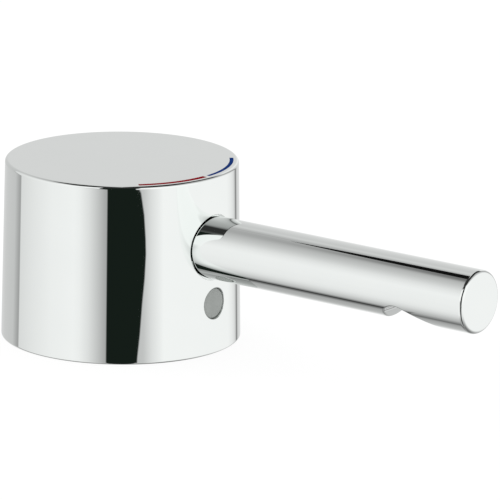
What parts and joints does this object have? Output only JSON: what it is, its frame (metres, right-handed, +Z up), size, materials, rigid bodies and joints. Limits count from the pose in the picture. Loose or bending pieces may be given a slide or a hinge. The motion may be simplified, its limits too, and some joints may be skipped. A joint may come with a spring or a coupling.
{
  "type": "tap handle",
  "caption": "Chrome-plated drum handle for a single-lever mixer tap, with a straight round pin lever, a plugged set screw and a square stem socket.",
  "frame": {"origin": "on the drum's axis, in the plane of its rim, at the mouth of the register bore", "axes": "+Z up along the drum's axis towards the closed top, +X along the pin lever towards its tip, +Y towards the cold side"},
  "size_m": [0.1073, 0.046, 0.0345],
  "materials": {
    "chrome_plating": "polished zinc die casting with bright chrome plating",
    "screw_steel": "plain stainless steel",
    "plug_plastic": "satin moulded plastic, mid grey",
    "red_enamel": "glossy red enamel fill",
    "blue_enamel": "glossy blue enamel fill"
  },
  "bodies": {
    "root": {"handle_casting": "chrome_plating", "set_screw": "screw_steel", "screw_plug": "plug_plastic", "hot_mark": "red_enamel", "cold_mark": "blue_enamel"}
  },
  "joints": []
}
